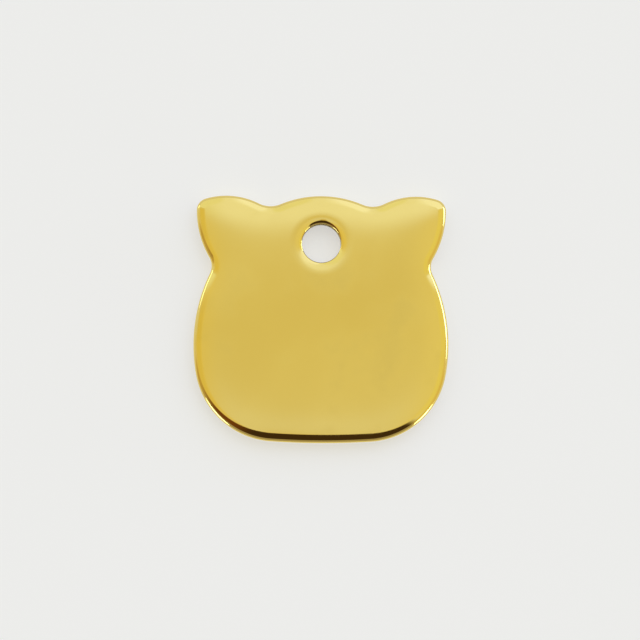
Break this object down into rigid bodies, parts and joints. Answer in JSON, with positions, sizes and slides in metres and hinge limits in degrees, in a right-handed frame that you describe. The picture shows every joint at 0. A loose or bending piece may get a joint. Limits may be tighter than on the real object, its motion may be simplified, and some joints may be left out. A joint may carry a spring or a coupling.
{
  "type": "pet id tag",
  "caption": "Flat pet ID tag blank shaped as a simple cat's head, in polished gold-coloured metal, with rounded edges and a round hole near the top for a split ring.",
  "frame": {"origin": "middle of the tag's underside, under the middle of its outline's width and height", "axes": "+Z out of the face, along the ring hole; +Y from the chin to the crown; +X across the tag, to the right seen from the face"},
  "size_m": [0.0254, 0.0248, 0.0018],
  "materials": {
    "polished_brass": "mirror-polished gold-coloured metal with very faint polishing marks and handling smudges"
  },
  "bodies": {
    "root": {"tag_plate": "polished_brass"}
  },
  "joints": []
}
